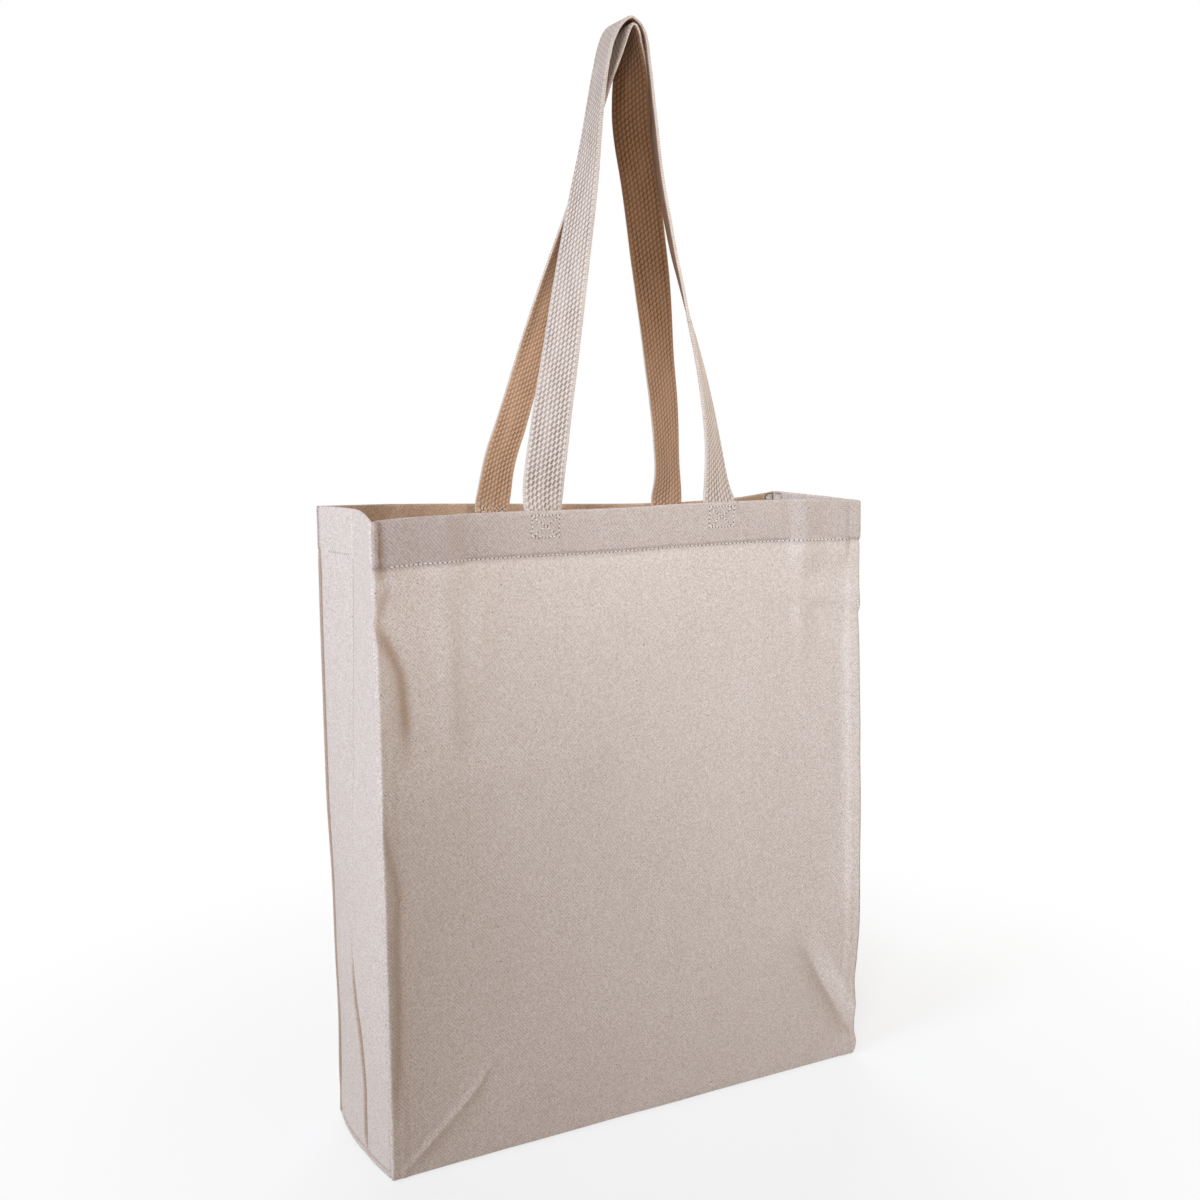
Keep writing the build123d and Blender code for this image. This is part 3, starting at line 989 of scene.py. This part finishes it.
# %% Helpers for stitches
bm = bmesh.new()
bmesh.ops.create_uvsphere(bm, u_segments=6, v_segments=5, radius=0.5)
needle_hole_shade = dict(length=0.8, width=0.9, height=0.5)
bead = bpy.data.meshes.new("bead")
bm.to_mesh(bead)
bm.free()


def lay_stitch(bm, middle, ahead, outward, length, width, height, look=0):
    """Adds one bead of thread at a point in millimetres, along ahead and flat against outward."""
    ahead = ahead.normalized()
    across = outward.cross(ahead).normalized()
    turn = Matrix((across, ahead.cross(across), ahead)).transposed().to_4x4()
    size = Matrix.Diagonal((width * MM, height * MM, length * MM, 1))
    new = bead.copy()
    new.transform(Matrix.Translation(middle * MM) @ turn @ size)
    for face in new.polygons:
        face.material_index = look
    bm.from_mesh(new)
    bpy.data.meshes.remove(new)


def stitch_row(bm, cloth, start, end, inward, pitch=3.0, length=2.3, width=1.15, height=1.0, loose=0.2):
    """A row of stitches with a dark bead of painted shade at the needle hole between each two, from one flat place
    on a cloth to another.
    """
    start, end = Vector(start), Vector(end)
    count = max(1, round((end - start).length / pitch))
    step = (end - start) / count
    for index in range(count):
        here = start + step * (index + 0.5)
        wobble = noise.noise(Vector((here.x * 0.9, here.y * 0.9, inward)))
        here += Vector((-step.y, step.x)).normalized() * loose * wobble
        reach = step * (0.5 / step.length)
        ahead = cloth(*(here + reach), inward) - cloth(*(here - reach), inward)
        outward = (cloth(*here, inward - 0.5) - cloth(*here, inward + 0.5)) * (1 if inward < 0 else -1)
        lay_stitch(bm, cloth(*here, inward), ahead, outward, length * (1 + loose * wobble), width, height)
        # A dark bead of painted shade marks the needle hole.
        lay_stitch(bm, cloth(*(here + step * 0.5), inward), ahead, outward, look=1, **needle_hole_shade)


def thread_piece(bm, name, body, node):
    """Turns stitches into a piece that rides a body and stands for a CAD node."""
    piece = finish_piece(bm, name, (thread_look, needle_hole_shade_look))
    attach(piece, body)
    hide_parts(node)
    return piece


def sewn_piece(name, cloth, lines, faces, body, node, **stitch):
    """The stitches along some lines of a cloth, on both of its faces."""
    bm = bmesh.new()
    for inward in faces:
        for start, end in lines:
            stitch_row(bm, cloth, start, end, inward, **stitch)
    return thread_piece(bm, name, body, node)


# %% Hem stitching
proud = 0.08                         # how far a thread stands out of its cloth
outer_face = -canvas / 2 - proud
hem_faces = outer_face, 2 * rim_radius + canvas / 2 + proud


def hem_thread(panel):
    """The row of stitches that holds a panel's hem."""
    name, node = panel["name"], panel["name"] + "_hem_stitching"
    reach = node_box(node)[1].x
    line = (-reach, stitch_z), (reach, stitch_z)
    cloth = partial(on_panel, panel)
    return sewn_piece(name + "_hem_thread", cloth, [line], hem_faces, name + "_panel", node)


def gusset_thread(gusset, half):
    """The hem stitches of one half of a gusset."""
    body = f"{gusset['name']}_gusset_{half}"
    node, name = body + "_stitching", body + "_thread"
    low, high = node_box(node)
    line = (low.y, stitch_z), (high.y, stitch_z)
    return sewn_piece(name, partial(on_gusset, gusset), [line], hem_faces, body, node)


hem_threads = {panel["name"]: hem_thread(panel) for panel in (front, back)}
gusset_threads = {gusset["name"]: [gusset_thread(gusset, half) for half in ("front", "rear")]
                  for gusset in (left, right)}

# %% [markdown]
# ## Handle tacks and overlock
# A box with a cross in it holds each end of a handle, sewn through strap, hem and panel, so it shows on
# both faces. The raw edges of the allowances are bound with an overlock, a close row of loops thrown round
# the edge.

# %% Tacks
strap_thickness = 2.2
strap_face = 2 * rim_radius + canvas / 2 + strap_thickness + proud


def tack_thread(panel, end):
    """The box and cross of stitches through one end of a handle."""
    node = f"{panel['name']}_{end}_tack"
    low, high = node_box(node)
    corners = [(low.x, low.z), (high.x, low.z), (high.x, high.z), (low.x, high.z)]
    lines = list(zip(corners, corners[1:] + corners[:1]))
    lines += [(corners[0], corners[2]), (corners[1], corners[3])]
    return sewn_piece(node + "_thread", partial(on_panel, panel), lines, (outer_face, strap_face),
                      panel["name"] + "_panel", node, pitch=2.5, length=1.7, width=0.9, height=0.8, loose=0.8)


tack_threads = {panel["name"]: [tack_thread(panel, end) for end in ("left", "right")]
                for panel in (front, back)}

# %% Overlock
loop_pitch, loop_size = 2.3, dict(length=2.7, width=1.0, height=2.4)
loop_slant, side_inset, base_inset, end_gap = 0.4, 0.4, 0.3, 2.5
edge_middle, half_edge = 1.45, 0.5  # how far inward the bound edge lies, and half its thickness


def overlock_thread(panel, edge):
    """The loops of thread round the raw edge of one seam allowance."""
    node = f"{panel['name']}_{edge}_overlock"
    low, high = node_box(node)
    start, end = (low.x, high.x) if edge == "base" else (end_gap, rim - end_gap)
    side_x = (low.x + high.x) / 2 - side_inset * math.copysign(1, -low.x)
    step = Vector((loop_slant, 0.0) if edge == "base" else (0.0, loop_slant))
    loops = round((end - start) / loop_pitch)
    bm = bmesh.new()
    for index in range(loops):
        run = start + (end - start) * (index + 0.5) / loops
        here = Vector((run, low.z - base_inset) if edge == "base" else (side_x, run))
        behind, ahead = here - step, here + step
        thrown = (on_panel(panel, *ahead, edge_middle - half_edge)
                  - on_panel(panel, *behind, edge_middle + half_edge))
        run_on = on_panel(panel, *ahead, edge_middle) - on_panel(panel, *behind, edge_middle)
        lay_stitch(bm, on_panel(panel, *here, edge_middle), thrown, run_on.cross(thrown), **loop_size)
    return thread_piece(bm, node + "_thread", panel["name"] + "_panel", node)


overlock_threads = {panel["name"]: [overlock_thread(panel, edge) for edge in ("left", "right", "base")]
                    for panel in (front, back)}

# %% [markdown]
# ## Handles
# Each handle is one length of webbing. It is sewn flat inside the hem, twists a quarter turn on its way up
# and meets the other handle in a narrow peak. A Bezier curve with automatic handles draws its line through
# measured points, and a strip with rounded edges then follows the line, turned at each height by the twist
# read off the picture.

# %% The lines of the handles
root_twist = [(0, 0), (10, 15), (20, 24), (40, 35), (60, 41.7), (100, 51.6)]
handle_lines = {
    "front": dict(
        left=[(413.6, -64.2), (450.9, -56.7), (506.4, -43.3), (563, -29.6), (603.5, -19.4), (637, -11.2),
              (664.4, -4.9), (690.8, 2.2), (704, 7.2), (712.3, 12.4)],
        peak=[(716.2, 17.2), (717.2, 20.6), (715.4, 25.0), (711.5, 29.4)],
        right=[(705, 32.4), (688, 35.2), (660, 36.9), (618, 38.8), (590, 42.4), (566, 45.9), (552.6, 48.6),
               (526.3, 53.3), (501.1, 58.3), (474.8, 62.0), (448.6, 64.3), (413, 65.1)],
        twist_left=root_twist + [(150, 63), (200, 76), (240, 90), (285, 96), (312, 90)],
        twist_right=root_twist + [(150, 62), (200, 66), (285, 69), (312, 88)]),
    "back": dict(
        left=[(413, -58.8), (436.1, -55.3), (462.2, -47.5), (502.3, -36.5), (545, -24.8), (579.7, -15.5),
              (605, -9.0), (641.2, -0.8), (665, 4.6), (679, 8.2), (690, 11.8), (703.5, 16.0)],
        peak=[(710.5, 18.4), (713.2, 20.6), (710.6, 23.4)],
        right=[(703, 26.0), (690, 27.0), (670, 28.4), (655, 30.2), (616, 40.2), (570, 50.6), (557.4, 53.4),
               (530.2, 58.8), (503.1, 63.8), (475, 69.6), (446.9, 74.1), (418.8, 77.3)],
        twist_left=[(0, 0), (25, 9), (60, 14), (120, 24), (180, 45), (240, 75), (285, 88), (307, 90)],
        twist_right=[(0, 0), (12, -11), (25, -16), (60, -10), (110, 0), (165, 27), (210, 32), (250, 38),
                     (279, 58), (297, 84), (307, 90)]),
}


def soft_path(points):
    """Close points, in millimetres, on a Bezier curve with automatic handles through the given ones."""
    curve = bpy.data.curves.new("strap_line", "CURVE")
    curve.dimensions, curve.resolution_u = "3D", 20
    spline = curve.splines.new("BEZIER")
    spline.bezier_points.add(len(points) - 1)
    for knot, point in zip(spline.bezier_points, points):
        knot.co = point
        knot.handle_left_type = knot.handle_right_type = "AUTO"
    line = bpy.data.objects.new("strap_line", curve)
    bpy.context.collection.objects.link(line)
    bpy.context.view_layer.update()
    mesh = bpy.data.meshes.new_from_object(line.evaluated_get(bpy.context.evaluated_depsgraph_get()))
    path = [vert.co.copy() for vert in mesh.vertices]
    bpy.data.objects.remove(line)
    bpy.data.curves.remove(curve)
    bpy.data.meshes.remove(mesh)
    return path


strap_gap = 0.05                     # between the webbing and the hem it is sewn to


def handle_path(panel):
    """The middle line of one handle, from the end of its left foot to the end of its right foot."""
    line = handle_lines[panel["name"]]
    deep = 2 * rim_radius + canvas / 2 + strap_thickness / 2 + strap_gap
    ends = {}
    for end in ("left", "right"):
        low, high = node_box(f"{panel['name']}_handle_{end}_end")
        middle = (low.x + high.x) / 2
        ends[end] = [on_panel(panel, middle, z, deep) for z in (low.z, low.z + 7, low.z + 14, high.z)]
    top = max(z for z, _ in line["peak"])

    def leaning(z, x, foot):
        return Vector((x, foot.y * (1 - ramp(z, rim, top)), z))

    rise = [leaning(z, x, ends["left"][-1]) for z, x in line["left"]]
    peak = [Vector((x, 0, z)) for z, x in line["peak"]]
    fall = [leaning(z, x, ends["right"][-1]) for z, x in line["right"]]
    return soft_path(ends["left"] + rise + peak + fall + ends["right"][::-1])


paths = {panel["name"]: handle_path(panel) for panel in (front, back)}
print({name: len(path) for name, path in paths.items()}, "points on the handle lines")

# %% The webbing
def strap_profile():
    """Points round the webbing's section, (across, out) in millimetres: two flat faces, two round edges."""
    radius = strap_thickness / 2
    reach = strap_width / 2 - radius
    face = [(-reach + 2 * reach * step / 10, radius) for step in range(11)]
    turns = [math.pi * step / 4 for step in (1, 2, 3)]
    edge = [(reach + radius * math.sin(turn), radius * math.cos(turn)) for turn in turns]
    half = face + edge
    return half + [(-across, -out) for across, out in half] + half[:1]


profile = strap_profile()
strap_row, half_look = 2.0, 1.5      # length of a row of faces, and how far to look ahead and back


def measured(path):
    """The distance along the path at each of its points."""
    runs = [0.0]
    for here, there in zip(path, path[1:]):
        runs.append(runs[-1] + (there - here).length)
    return runs


def point_on(path, runs, run):
    """The point at a distance along a path."""
    run = min(max(run, 0.0), runs[-1])
    low, high = 0, len(runs) - 1
    while high - low > 1:
        middle = (low + high) // 2
        low, high = (middle, high) if runs[middle] <= run else (low, middle)
    return path[low].lerp(path[high], (run - runs[low]) / max(runs[high] - runs[low], 1e-9))


def strap_axes(panel, path, runs, run):
    """The middle of the webbing at a distance along it, with the ways its width and its outer face point."""
    lines = handle_lines[panel["name"]]
    here = point_on(path, runs, run)
    ahead = (point_on(path, runs, run + half_look) - point_on(path, runs, run - half_look)).normalized()
    outward = Vector((0, panel["face"], 0))
    outward = (outward - ahead * outward.dot(ahead)).normalized()
    inside = ahead.cross(outward) * -panel["face"]
    peak_run = runs[max(range(len(path)), key=lambda index: path[index].z)]
    twist = math.radians(read_line(here.z - rim, lines["twist_left" if run < peak_run else "twist_right"]))
    return (here, inside * math.cos(twist) + outward * math.sin(twist),
            outward * math.cos(twist) - inside * math.sin(twist))


def lay_strap(bm, panel, path, runs, start, end):
    """Adds the webbing between two distances along its line."""
    def place(a, b):
        run = start + (end - start) * b
        here, wide, thick = strap_axes(panel, path, runs, run)
        across, out = profile[round(a * (len(profile) - 1))]
        return here + wide * across + thick * out, (across, run)

    laid = lay_sheet(bm, len(profile) - 1, max(4, round((end - start) / strap_row)), place)
    # Faces on the inner side of the webbing take the second finish, with painted shade.
    for face in bm.faces:
        run = sum(laid[vert][1] for vert in face.verts) / len(face.verts)
        here, _, thick = strap_axes(panel, path, runs, run)
        face.material_index = int((face.calc_center_median() / MM - here).dot(thick) < -0.3 * strap_thickness)
    bmesh.ops.remove_doubles(bm, verts=bm.verts, dist=1e-7)
    ends = [edge for edge in bm.edges if edge.is_boundary]
    for edge in ends:
        edge.smooth = False
    bmesh.ops.holes_fill(bm, edges=ends, sides=0)
    bmesh.ops.recalc_face_normals(bm, faces=bm.faces)


def run_at_height(path, runs, height, rising):
    """The distance along the path where it passes a height on its way up or down."""
    peak_index = max(range(len(path)), key=lambda index: path[index].z)
    indices = range(peak_index) if rising else range(len(path) - 1, peak_index, -1)
    return next(runs[index] for index in indices if path[index].z >= height)


def handle_webbing(panel):
    """One handle in three pieces: two feet that bend at the rim, and the loop."""
    name, path = panel["name"], paths[panel["name"]]
    runs = measured(path)
    root_top = node_box(name + "_handle_loop")[0].z
    cuts = [0, *(run_at_height(path, runs, root_top, rising) for rising in (True, False)), runs[-1]]
    pieces = {}
    for part, start, end in zip(("left_foot", "loop", "right_foot"), cuts, cuts[1:]):
        bm = bmesh.new()
        lay_strap(bm, panel, path, runs, start, end)
        looks = webbing_look, shaded_inner_webbing_look
        pieces[part] = finish_piece(bm, f"{name}_handle_{part}_webbing", looks)
    for end in ("left", "right"):
        foot = pieces[end + "_foot"]
        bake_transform(foot, name + "_panel", name + "_handle_root",
                 start=(0, 0, (rim - 1) * MM), end=(0, 0, (rim + 9) * MM))
        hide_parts(f"{name}_handle_{end}_end", name + "_handle_roots")
    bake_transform(pieces["loop"], name + "_handle_root", name + "_handle",
             start=(0, 0, root_top * MM), end=(0, 0, (root_top + 16) * MM))
    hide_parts(name + "_handle_loop")
    return pieces, runs[-1]


handles = {panel["name"]: handle_webbing(panel) for panel in (front, back)}

# %% [markdown]
# ## The pieces of each side
# A panel is cut with nine millimetres of allowance on three sides and two and a half inches for its hem. The
# cell below only gathers the pieces of each side and the length of each handle, and uses none of them.

# %% The pieces of each side
for panel in (front, back):
    name = panel["name"]
    (seam_pieces[name] + [hem_threads[name]] + tack_threads[name]
             + overlock_threads[name])
    pieces, length = handles[name]
    length * MM
    name + "_panel_cloth"
for gusset in (left, right):
    name = gusset["name"]
    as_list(gusset_threads[name])

# %% [markdown]
# ## Floor and light
# A bag like this is shown on plain white. The floor takes the bag's shadow near it and fades to the white
# of the background further out. A large soft lamp on the left lights the gusset, and another at the rear
# lights the back. Three soft-edged spots brighten the front, the peak of the loops and the right straps.
# The world adds even, warm light from all round, but looks white where the camera sees it.

# %% Floor
def seen_directly(tree):
    """1 for what the camera sees, also in a shine or through glass, and 0 for what only lights the scene."""
    rays = add_node(tree, "ShaderNodeLightPath").outputs
    camera, glossy, clear = [Value(rays[f"Is {kind} Ray"]) for kind in ("Camera", "Glossy", "Transmission")]
    return camera.maths("MAXIMUM", glossy.maths("MAXIMUM", clear))


bm = bmesh.new()
floor_reach, floor_below = 4.0, 0.0006
bmesh.ops.create_grid(bm, x_segments=8, y_segments=8, size=floor_reach)
bmesh.ops.translate(bm, verts=bm.verts, vec=(0, 0, -floor_below))
floor_mesh = bpy.data.meshes.new("floor")
bm.to_mesh(floor_mesh)
bm.free()
floor = bpy.data.objects.new("floor", floor_mesh)
bpy.context.collection.objects.link(floor)

floor_look, tree = new_material("pale_floor")
place = add_node(tree, "ShaderNodeTexCoord").outputs["Object"]
away = add_node(tree, "ShaderNodeVectorMath", operation="LENGTH", inputs={0: place}).outputs["Value"]
fade = read_node(tree, "ShaderNodeMapRange", interpolation_type="SMOOTHSTEP", inputs={
    "Value": away, "From Min": 0.15, "From Max": 0.6, "To Min": 0.7, "To Max": 1.0})
glow = add_node(tree, "ShaderNodeEmission", inputs={"Color": (1, 1, 1, 1), "Strength": 1.0})
shader = tree.nodes["Principled BSDF"]
fill_inputs(shader, {"Base Color": (0.86, 0.86, 0.86, 1), "Roughness": 0.9})
mixed = add_node(tree, "ShaderNodeMixShader", inputs={
    0: seen_directly(tree) * fade, 1: shader.outputs[0], 2: glow.outputs[0]})
tree.links.new(mixed.outputs[0], tree.nodes["Material Output"].inputs["Surface"])
floor_mesh.materials.append(floor_look)

# %% World and lamps
world = bpy.data.worlds.new("studio")
bpy.context.scene.world = world
world.use_nodes = True
ambient, white = (0.355, 0.262, 0.178, 1), (1, 1, 1, 1)
sky = tint(seen_directly(world.node_tree), ambient, white)
fill_inputs(world.node_tree.nodes["Background"], {"Color": sky})


def hang_lamp(name, lamp, place, aim):
    """Puts a lamp at a place in metres and turns it to a point."""
    holder = bpy.data.objects.new(name, lamp)
    holder.location = place
    holder.rotation_euler = (Vector(aim) - Vector(place)).to_track_quat("-Z", "Y").to_euler()
    bpy.context.collection.objects.link(holder)


def soft_lamp(name, place, aim, size, power, colour):
    """A square lamp at a place in metres, turned to a point."""
    lamp = bpy.data.lights.new(name, "AREA")
    lamp.shape, lamp.size, lamp.energy, lamp.color = "SQUARE", size, power, colour
    hang_lamp(name, lamp, place, aim)


def soft_spot(name, place, aim, cone, power, colour):
    """A soft-edged spot at a place in metres, turned to a point."""
    lamp = bpy.data.lights.new(name, "SPOT")
    lamp.spot_size, lamp.spot_blend, lamp.shadow_soft_size = math.radians(cone), 1.0, 0.25
    lamp.energy, lamp.color = power, colour
    hang_lamp(name, lamp, place, aim)


soft_lamp("left_lamp", (-3.0, -0.55, 1.9), (0, 0, 0.25), 1.2, 88, (0.66, 0.80, 1.0))
soft_lamp("rear_lamp", (1.3, 3.0, 2.0), (0, 0, 0.25), 2.4, 75, (0.78, 0.88, 1.0))
soft_spot("front_spot", (-1.3, -1.5, 1.1), (0.17, -0.05, 0.31), 22.5, 186, (0.79, 0.90, 1.0))
soft_spot("loop_spot", (-0.9, -2.1, 1.1), (0.0, 0.0, 0.71), 10, 180, (0.92, 0.96, 1.0))
soft_spot("strap_spot", (2.2, -0.85, 1.0), (0.05, -0.02, 0.62), 10.5, 700, (0.92, 0.96, 1.0))
bpy.context.scene.view_settings.view_transform = "Standard"
print("lamps", [lamp.name for lamp in bpy.data.lights])
